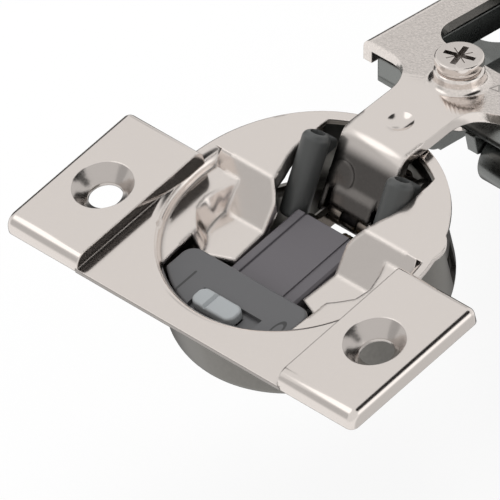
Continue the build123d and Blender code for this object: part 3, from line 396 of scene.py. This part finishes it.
stroke_group, given, result = start_group(
    "stroke",
    [("Start", VECTOR, (0, 0, 0)), ("Way", VECTOR, (0, 0.001, 0)),
     ("Half Width", FLOAT, 0.0001)],
    [("Mask", FLOAT)])
flat = vector(stroke_group, "MULTIPLY", object_place(stroke_group), SEEN_FROM_ABOVE)
offset = vector(stroke_group, "SUBTRACT", flat, given["Start"])
along = vector(stroke_group, "DOT_PRODUCT", offset, given["Way"])
square = vector(stroke_group, "DOT_PRODUCT", given["Way"], given["Way"])
share = number(stroke_group, "DIVIDE", along, square, use_clamp=True)
nearest = vector(stroke_group, "SCALE", given["Way"], share)
gap = vector(stroke_group, "DISTANCE", offset, nearest)
near = number(stroke_group, "LESS_THAN", gap, given["Half Width"])
feed(stroke_group, result["Mask"], near)


def stroke(tree, start, end, width):
    way = [(b - a) * MM for a, b in zip(start, end)]
    values = {
        "Start": (start[0] * MM, start[1] * MM, 0), "Way": (*way, 0),
        "Half Width": width / 2 * MM}
    return use_group(tree, stroke_group, values)["Mask"]

# %% Ring group
ring_group, given, result = start_group(
    "ring",
    [("Centre", VECTOR, (0, 0, 0)), ("Scale", VECTOR, (1, 1, 0)), ("Line", FLOAT, 0.2)],
    [("Mask", FLOAT)])
shifted = vector(ring_group, "SUBTRACT", object_place(ring_group), given["Centre"])
size = vector(ring_group, "LENGTH", vector(ring_group, "MULTIPLY", shifted, given["Scale"]))
feed(ring_group, result["Mask"], number(ring_group, "COMPARE", size, 1.0, given["Line"]))


def ring(tree, centre, half_size, line):
    scale = [1 / (half * MM) for half in half_size]
    values = {
        "Centre": (centre[0] * MM, centre[1] * MM, 0), "Scale": (*scale, 0), "Line": line}
    return use_group(tree, ring_group, values)["Mask"]

# %% [markdown]
# ## Shade, painted crease shade and rolled edges
#
# A shade multiplies the colour where a mask is nought and leaves it where the mask is one.
# Corners and creases get painted shade: an Ambient Occlusion node with a short reach finds
# them, whichever way they face, and their colour is darkened as if shade fell there. And
# sheet is never folded sharp. Wider bevels on the mesh would eat into its small forms, so a
# Bevel node rounds the shading alone.

# %% Shade group
shade_group, given, result = start_group(
    "shade",
    [("Colour", COLOUR, (0.8, 0.8, 0.8, 1)), ("Mask", FLOAT, 1.0), ("Least", FLOAT, 0.5)],
    [("Colour", COLOUR)])
share = ramp(shade_group, given["Mask"], 0.0, 1.0, given["Least"], 1.0, kind="LINEAR")
feed(shade_group, result["Colour"], vector(shade_group, "SCALE", given["Colour"], share))


def shade(tree, colour, mask, least):
    values = {"Colour": colour, "Mask": mask, "Least": least}
    return use_group(tree, shade_group, values)["Colour"]


def darken(tree, look, mask, least):
    look["Colour"] = shade(tree, look["Colour"], mask, least)

# %% Crease group
CREASE_REACH = 0.8 * MM
CREASE_RANGE = (0.45, 0.9)
CREASE_SAMPLES = 6

# Painted shade: the AO node darkens the colour in corners and creases.
painted_crease_shade_group, given, result = start_group(
    "painted_crease_shade",
    [("Colour", COLOUR, (0.8, 0.8, 0.8, 1)), ("Least", FLOAT, 0.5)], [("Colour", COLOUR)])
corner = add_node(
    painted_crease_shade_group, "ShaderNodeAmbientOcclusion", samples=CREASE_SAMPLES, only_local=True)
corner.inputs["Distance"].default_value = CREASE_REACH
unshaded_share = ramp(painted_crease_shade_group, corner.outputs["AO"], *CREASE_RANGE)
feed(painted_crease_shade_group, result["Colour"], shade(painted_crease_shade_group, given["Colour"], unshaded_share, given["Least"]))


def painted_crease_shade(least):
    def touch(tree, look):
        values = {"Colour": look["Colour"], "Least": least}
        look["Colour"] = use_group(tree, painted_crease_shade_group, values)["Colour"]
    return touch

# %% Rolled edge group
ROLL_SAMPLES = 6

roll_group, given, result = start_group(
    "rolled_edges", [("Radius", FLOAT, 0.0002)], [("Normal", VECTOR)])
rounded = add_node(roll_group, "ShaderNodeBevel", samples=ROLL_SAMPLES)
feed(roll_group, rounded.inputs["Radius"], given["Radius"])
feed(roll_group, result["Normal"], rounded.outputs["Normal"])


def rolled(tree, roll, wide_roll):
    radius = roll * MM
    if wide_roll is not None:
        wide, zone = wide_roll
        radius = ramp(tree, zone(tree), 0.0, 1.0, roll * MM, wide * MM, kind="LINEAR")
    return use_group(tree, roll_group, {"Radius": radius})["Normal"]


print("groups", [group.name for group in bpy.data.node_groups])

# %% [markdown]
# ## Metals and plastics
#
# One function makes a finish from a colour, a roughness and the grain's size and depth.
# A metal is fully metallic; a plastic isn't, and its grain is the fine spark-eroded texture
# of its mould, which shows as bump. A finish may have a roll, which is the radius in
# millimetres of its rounded shading, with a wider one inside a zone. It may also have
# touches: each is a function that changes the colour, roughness or height in one place.

# %% Finish function
BUMP_DEPTH = 0.05 * MM
CLOUD_AMOUNT = 0.05


def finish(name, colour, roughness, metal=1.0, speck=2500.0, depth=0.10, spread=0.06,
           bump=0.02, roll=None, wide_roll=None, grainy=None, touches=()):
    material = bpy.data.materials.new(name)
    material.use_nodes = True
    tree = material.node_tree
    cloud = use_group(tree, cloud_group, {
        "Roughness": roughness - CLOUD_AMOUNT / 2, "Amount": CLOUD_AMOUNT})
    values = {
        "Colour": (*colour, 1), "Speck Size": speck, "Depth": depth,
        "Roughness Spread": spread, "Roughness": cloud["Roughness"]}
    if grainy is not None:
        values["Mask"] = grainy(tree)
    grain = use_group(tree, grain_group, values)
    look = {label: grain[label] for label in ("Colour", "Roughness", "Height")}
    for touch in touches:
        touch(tree, look)
    relief = add_node(tree, "ShaderNodeBump")
    relief.inputs["Strength"].default_value = bump
    relief.inputs["Distance"].default_value = BUMP_DEPTH
    feed(tree, relief.inputs["Height"], look["Height"])
    if roll is not None:
        feed(tree, relief.inputs["Normal"], rolled(tree, roll, wide_roll))
    shader = tree.nodes["Principled BSDF"]
    shader.inputs["Metallic"].default_value = metal
    feed(tree, shader.inputs["Base Color"], look["Colour"])
    feed(tree, shader.inputs["Roughness"], look["Roughness"])
    feed(tree, shader.inputs["Normal"], relief.outputs["Normal"])
    return material

# %% [markdown]
# ## The flange's finish
#
# The flange is bright nickel with three exceptions. Its countersinks are turned, so they
# are a little duller and grainier, and their colour also gets painted shade. Its front edge
# is sheared and shows raw steel between the pads. And the drawn pockets beside the arm have
# softer folds than the rest. The two countersinks could be two masks. One does for both,
# because the absolute coordinates fold them onto each other, and the flange has nothing at
# the other two places.

# %% Countersinks
SINK_CENTRE = (22.5 * MM, 9.5 * MM, 0)
SINK_RADIUS = 3.82 * MM
SINK_GRAIN_SIZE = 3800
SINK_GRAIN_DETAIL = 2
SINK_DULL = 0.03
SINK_RELIEF = 6.0
SINK_PAINTED_SHADE = 0.72


def turned_and_shaded_sinks(tree, look):
    folded = vector(tree, "ABSOLUTE", object_place(tree))
    flat = vector(tree, "MULTIPLY", folded, SEEN_FROM_ABOVE)
    away = vector(tree, "DISTANCE", flat, SINK_CENTRE)
    sink = number(tree, "LESS_THAN", away, SINK_RADIUS)
    grain = noise(tree, SINK_GRAIN_SIZE, SINK_GRAIN_DETAIL).outputs["Fac"]
    speck = number(tree, "MULTIPLY", number(tree, "SUBTRACT", grain, NOISE_MIDDLE), sink)
    look["Roughness"] = number(tree, "MULTIPLY_ADD", sink, SINK_DULL, look["Roughness"])
    look["Height"] = number(tree, "MULTIPLY_ADD", speck, SINK_RELIEF, look["Height"])
    # Painted shade: the countersinks' colour is darkened.
    darken(tree, look, number(tree, "SUBTRACT", 1.0, sink), SINK_PAINTED_SHADE)


print("countersinks", round(2 * SINK_RADIUS / MM, 2), "mm wide")

# %% Cut edge and pockets
CUT_EDGE_Y = (-20.38, -20.3)
CUT_EDGE_HALF = 16.95 * MM
CUT_SHADE = 0.45
POCKET_FRONT = (-9.6, -9.2)
POCKET_REAR_Y = 12.5
POCKET_HALF = 14.6
POCKET_FADE = 0.3


def dark_cut_edge(tree, look):
    behind = slope(tree, (0, 1, 0), *CUT_EDGE_Y)
    width = number(tree, "ABSOLUTE", place_axes(tree, object_place(tree))["X"])
    on_pad = number(tree, "GREATER_THAN", width, CUT_EDGE_HALF)
    darken(tree, look, number(tree, "MAXIMUM", behind, on_pad), CUT_SHADE)


def pocket_zone(tree):
    zone = slope(tree, (0, 1, 0), *POCKET_FRONT)
    limits = (((0, -1, 0), POCKET_REAR_Y), ((1, 0, 0), POCKET_HALF), ((-1, 0, 0), POCKET_HALF))
    for along, limit in limits:
        zone = number(tree, "MULTIPLY", zone, slope(tree, along, -limit, POCKET_FADE - limit))
    return zone


print("cut edge", round(2 * CUT_EDGE_HALF / MM, 1), "mm long")

# %% [markdown]
# ## The arm's finish
#
# The wide plate of the arm is blasted before plating and looks speckled, and the neck
# towards the cup is smooth. The change lies across the arm, where the plate begins. The web
# stands inside the cup and is a little grainy, and its colour gets painted shade towards its
# foot. The web and its fold into the neck are rounder than the other edges. Beside the screw
# is a small arrow: its lines are some hundredths of a millimetre deep, so cutting them would
# cost many triangles for little, and three strokes darken the colour instead.

# %% Arm masks
MATT_START = (24.5, 25.7)
WEB_ANGLE = math.radians(51.0)
WEB_UP = (0.0, math.cos(WEB_ANGLE), math.sin(WEB_ANGLE))
WEB_GRAIN_AND_SHADE_ZONE = (7.5, 9.4)
WEB_PAINTED_SHADE = 0.15
WEB_GRAIN = 0.7
FOLD_ZONE = (-17.6, -16.8)


def grainy_arm(tree):
    plate = slope(tree, (0, 1, 0), *MATT_START)
    web_down = [-part for part in WEB_UP]
    web = slope(tree, web_down, -WEB_GRAIN_AND_SHADE_ZONE[1], -WEB_GRAIN_AND_SHADE_ZONE[0])
    return number(tree, "MAXIMUM", plate, number(tree, "MULTIPLY", web, WEB_GRAIN))


# Painted shade: the web's colour darkens towards its foot inside the cup.
def painted_web_shade(tree, look):
    darken(tree, look, slope(tree, WEB_UP, *WEB_GRAIN_AND_SHADE_ZONE), WEB_PAINTED_SHADE)


def fold_zone(tree):
    return slope(tree, (0, -1, 0), *FOLD_ZONE)


print("the plate is matt beyond", MATT_START[1], "mm along the arm")

# %% Arm arrow
ARROW = ((3.73, 29.59), (4.06, 30.80), (4.98, 29.83))
ARROW_LINE = 0.2
ARROW_BOTTOM = -1.2
ARROW_SHADE = 0.55
MARK_FADE = 0.01


def engrave(tree, look, marks, bottom, least):
    total = marks[0]
    for mark in marks[1:]:
        total = number(tree, "MAXIMUM", total, mark)
    on_top = slope(tree, (0, 0, 1), bottom, bottom + MARK_FADE)
    total = number(tree, "MULTIPLY", total, on_top)
    darken(tree, look, number(tree, "SUBTRACT", 1.0, total), least)


def arrow_mark(tree, look):
    corners = zip(ARROW, (*ARROW[1:], ARROW[0]))
    strokes = [stroke(tree, start, end, ARROW_LINE) for start, end in corners]
    engrave(tree, look, strokes, ARROW_BOTTOM, ARROW_SHADE)


print("arrow corners", ARROW)

# %% [markdown]
# ## The screw's recess and the switch's marks
#
# The cross recess of the adjusting screw is pressed, and it gets painted shade: its colour
# is dark below its rim and above its floor. Beside the switch, the damper's housing has a
# plain line at one end and a ring at the other. They are as shallow as the arm's arrow, and
# are drawn the same way, by a stroke and a ring that only darken.

# %% Screw recess
PLATE_TILT = math.radians(14.5)
PLATE_UP = Vector((0.0, math.sin(PLATE_TILT), math.cos(PLATE_TILT)))
PLATE_MIDDLE = Vector((0.0, 28.26, 0.735))
HEAD_RISE = 3.6
SCREW_TOP = PLATE_MIDDLE.dot(PLATE_UP) + HEAD_RISE
RECESS_RIM = (-0.16, -0.08)
RECESS_FLOOR = (-0.86, -0.9)
RECESS_RADIUS = 2.35 * MM
RECESS_PAINTED_SHADE = 0.4


# Painted shade: the screw's colour is darkened inside its cross recess.
def painted_recess_shade(tree, look):
    above = slope(tree, PLATE_UP, *[SCREW_TOP + depth for depth in RECESS_RIM])
    below = slope(tree, PLATE_UP, *[SCREW_TOP + depth for depth in RECESS_FLOOR])
    offset = vector(tree, "SUBTRACT", object_place(tree), PLATE_MIDDLE * MM)
    radius = vector(tree, "LENGTH", vector(tree, "CROSS_PRODUCT", offset, PLATE_UP))
    outside = number(tree, "GREATER_THAN", radius, RECESS_RADIUS)
    beside = number(tree, "MAXIMUM", above, outside)
    darken(tree, look, number(tree, "MAXIMUM", beside, below), RECESS_PAINTED_SHADE)


print("screw top", round(SCREW_TOP, 2), "mm along the plate's normal")

# %% Switch marks
LINE_START, LINE_END = (-6.32, -14.68), (-6.29, -11.13)
LINE_WIDTH = 0.32
RING_CENTRE = (8.43, -12.6)
RING_HALF_SIZE = (0.62, 1.4)
RING_LINE = 0.2
MARK_BOTTOM = -1.75
MARK_SHADE = 0.35


def switch_marks(tree, look):
    marks = [
        stroke(tree, LINE_START, LINE_END, LINE_WIDTH),
        ring(tree, RING_CENTRE, RING_HALF_SIZE, RING_LINE)]
    engrave(tree, look, marks, MARK_BOTTOM, MARK_SHADE)


print("switch line", round(math.dist(LINE_START, LINE_END), 2), "mm long")

# %% [markdown]
# ## The list of finishes
#
# Each finish of the hinge is one entry here. The three nickels share one colour and differ
# in their grain, their roll and their touches. The steels are greyer and rougher, the cast
# zinc is dark with a coarse grain, and the plastics aren't metallic. One list, rather than
# a cell for each, lets the numbers of similar finishes be compared.

# %% Finishes
NICKEL = (0.83, 0.775, 0.74)
FINISHES = {
    "nickel_sheet": finish(
        "bright_nickel", NICKEL, 0.15, depth=0.05, spread=0.04, roll=0.25,
        wide_roll=(0.75, pocket_zone),
        touches=(dark_cut_edge, turned_and_shaded_sinks, painted_crease_shade(0.25))),
    "screw_nickel": finish(
        "screw_nickel", NICKEL, 0.15, depth=0.05, spread=0.04, roll=0.12,
        touches=(painted_recess_shade,)),
    "arm_nickel": finish(
        "arm_nickel", NICKEL, 0.15, speck=3300, depth=0.6, spread=0.3, bump=0.3, roll=0.15,
        wide_roll=(0.8, fold_zone), grainy=grainy_arm,
        touches=(painted_web_shade, arrow_mark, painted_crease_shade(0.35))),
    "pot_steel": finish(
        "drawn_pot_steel", (0.215, 0.208, 0.195), 0.33, speck=1800, depth=0.35, spread=0.2,
        bump=0.15),
    "satin_steel": finish(
        "satin_steel", (0.34, 0.33, 0.31), 0.34, speck=1800, depth=0.35, spread=0.2,
        bump=0.15),
    "lever_steel": finish(
        "dark_plated_steel", (0.17, 0.148, 0.13), 0.30, speck=1600, depth=0.4, spread=0.2),
    "pin_steel": finish("ground_pin_steel", (0.62, 0.59, 0.56), 0.22),
    "spring_steel": finish("spring_wire", (0.42, 0.35, 0.25), 0.3),
    "zinc_cast": finish(
        "cast_zinc", (0.2, 0.208, 0.204), 0.28, speck=900, depth=0.25, spread=0.15, bump=0.2,
        roll=0.3),
    "grey_plastic": finish(
        "dark_grey_plastic", (0.108, 0.108, 0.112), 0.42, metal=0, speck=6000, depth=0.12,
        bump=0.15, touches=(switch_marks,)),
    "light_plastic": finish(
        "pale_grey_plastic", (0.38, 0.40, 0.41), 0.38, metal=0, speck=6000, depth=0.08,
        bump=0.1),
    "slider_plastic": finish(
        "warm_grey_plastic", (0.122, 0.114, 0.124), 0.46, metal=0, speck=6000, depth=0.1,
        bump=0.15),
    "sleeve_plastic": finish(
        "charcoal_plastic", (0.075, 0.078, 0.077), 0.4, metal=0, speck=5000, depth=0.12,
        bump=0.15),
}
print("finishes", len(FINISHES))

# %% [markdown]
# ## Two pieces that stand for packed ones
#
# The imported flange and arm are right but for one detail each. They could be modelled anew,
# but nearly all of their points are right already. So each is copied, the copy's loose
# triangles are merged, a few points of it are moved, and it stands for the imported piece,
# whose own mesh is left alone. On the arm, the curved shoulders in front of the wide
# plate lie in the plate's own tilted plane and make a small step at the neck. On the real
# stamping the sheet simply folds, so the shoulders are laid down into the neck's plane.
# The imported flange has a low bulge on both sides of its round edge. The real one has it
# only on the right, so the left one is drawn in to the circle.

# %% Merged copies
WELD_REACH = 0.002 * MM


def merged_copy(node, name, body):
    mesh = nodes[node].data.copy()
    mesh.name = name
    work = bmesh.new()
    work.from_mesh(mesh)
    bmesh.ops.remove_doubles(work, verts=work.verts, dist=WELD_REACH)
    piece = bpy.data.objects.new(name, mesh)
    scene.collection.objects.link(piece)
    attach(piece, body)
    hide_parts(node)
    return piece, work


def close_copy(piece, work):
    bmesh.ops.recalc_face_normals(work, faces=work.faces)
    work.to_mesh(piece.data)
    work.free()

# %% Arm without the step
FOLD_Y = 24.5 * MM
SHOULDER_Y = 21.5 * MM
SHOULDER_SLOPE = 0.1819
SHEET_THICK = 1.4 * MM
ON_PLANE = 0.03 * MM

arm, work = merged_copy("hinge_arm", "arm_sheet", "arm")
laid = 0
for vert in work.verts:
    height = (vert.co - PLATE_MIDDLE * MM).dot(PLATE_UP)
    on_sheet = min(abs(height), abs(height + SHEET_THICK)) < ON_PLANE
    if SHOULDER_Y < vert.co.y < FOLD_Y and on_sheet:
        vert.co.z += SHOULDER_SLOPE * (vert.co.y - FOLD_Y)
        laid += 1
close_copy(arm, work)
print("shoulder points laid down", laid)

# %% Flange with one bulge
EDGE_RADIUS = 18.5 * MM
BULGE_Y = (2.0 * MM, 11.0 * MM)

flange, work = merged_copy("flange_plate", "flange_sheet", "cup")
drawn_in = 0
for vert in work.verts:
    radius = vert.co.xy.length
    if vert.co.x < 0 and BULGE_Y[0] < vert.co.y < BULGE_Y[1] and radius > EDGE_RADIUS:
        vert.co.xy *= EDGE_RADIUS / radius
        drawn_in += 1
close_copy(flange, work)
print("edge points drawn in", drawn_in)

# %% [markdown]
# ## Soft edges on every piece
#
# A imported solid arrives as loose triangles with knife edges. Real edges are never that
# sharp, and the light that they catch is most of what tells a metal part from a paper one.
# Two modifiers do it without touching the mesh: Weld joins the loose corners, and Bevel
# rounds each edge that turns by more than a limit. Its hardened normals keep the flats
# flat, so that the rounding alone shades. The wire springs are round already and get none.

# %% Edge modifiers
EDGE_ANGLE = math.radians(28)
EDGE_SEGMENTS = 3
SHEET_EDGE = 0.12 * MM
CAST_EDGE = 0.16 * MM
PLASTIC_EDGE = 0.14 * MM
FINE_EDGE = 0.05 * MM


def soften(piece, width):
    weld = piece.modifiers.new("weld", "WELD")
    weld.merge_threshold = WELD_REACH
    bevel = piece.modifiers.new("edges", "BEVEL")
    bevel.width = width
    bevel.segments = EDGE_SEGMENTS
    bevel.limit_method = "ANGLE"
    bevel.angle_limit = EDGE_ANGLE
    bevel.harden_normals = True
    bevel.use_clamp_overlap = True

# %% [markdown]
# ## Dressing the pieces
#
# Every piece gets one finish and one width of edge: a wide one where the piece has room
# for it, and a fine one where it is small or thin. A piece could be dressed where it is
# made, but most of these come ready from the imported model, so one table holds them all.

# %% Which finish on which piece
DRESS = {
    "flange_sheet": ("nickel_sheet", SHEET_EDGE),
    "cup_shell": ("pot_steel", SHEET_EDGE),
    "rear_cup_pin": ("pin_steel", SHEET_EDGE),
    "front_cup_pin": ("pin_steel", SHEET_EDGE),
    "outer_lever": ("lever_steel", SHEET_EDGE),
    "inner_lever_left": ("lever_steel", FINE_EDGE),
    "inner_lever_right": ("lever_steel", FINE_EDGE),
    "damper_housing": ("grey_plastic", PLASTIC_EDGE),
    "deactivation_switch": ("light_plastic", PLASTIC_EDGE),
    "damper_slider": ("slider_plastic", PLASTIC_EDGE),
    "damper_cylinder": ("satin_steel", FINE_EDGE),
    "damper_rod": ("pin_steel", FINE_EDGE),
    "damper_return_spring": ("spring_steel", None),
    "spring_sleeve_left": ("sleeve_plastic", FINE_EDGE),
    "spring_sleeve_right": ("sleeve_plastic", FINE_EDGE),
    "closing_spring": ("spring_steel", None),
    "lever_coil_spring": ("spring_steel", None),
    "arm_sheet": ("arm_nickel", SHEET_EDGE),
    "arm_outer_pin": ("pin_steel", FINE_EDGE),
    "arm_inner_pin_left": ("pin_steel", FINE_EDGE),
    "arm_inner_pin_right": ("pin_steel", FINE_EDGE),
    "side_adjusting_screw": ("screw_nickel", FINE_EDGE),
    "arm_carriage": ("zinc_cast", CAST_EDGE),
    "tilt_pin": ("pin_steel", FINE_EDGE),
    "depth_cam": ("satin_steel", FINE_EDGE),
    "base_plate": ("zinc_cast", CAST_EDGE),
    "clip_lever": ("satin_steel", SHEET_EDGE),
    "clip_lever_pin": ("pin_steel", FINE_EDGE),
}
own_pieces = {"arm_sheet": arm, "flange_sheet": flange}
for name, (look, edge) in DRESS.items():
    piece = own_pieces.get(name) or nodes[name]
    piece.data.materials.clear()
    piece.data.materials.append(FINISHES[look])
    if edge is not None:
        soften(piece, edge)
print("dressed", len(DRESS), "of", len(nodes))
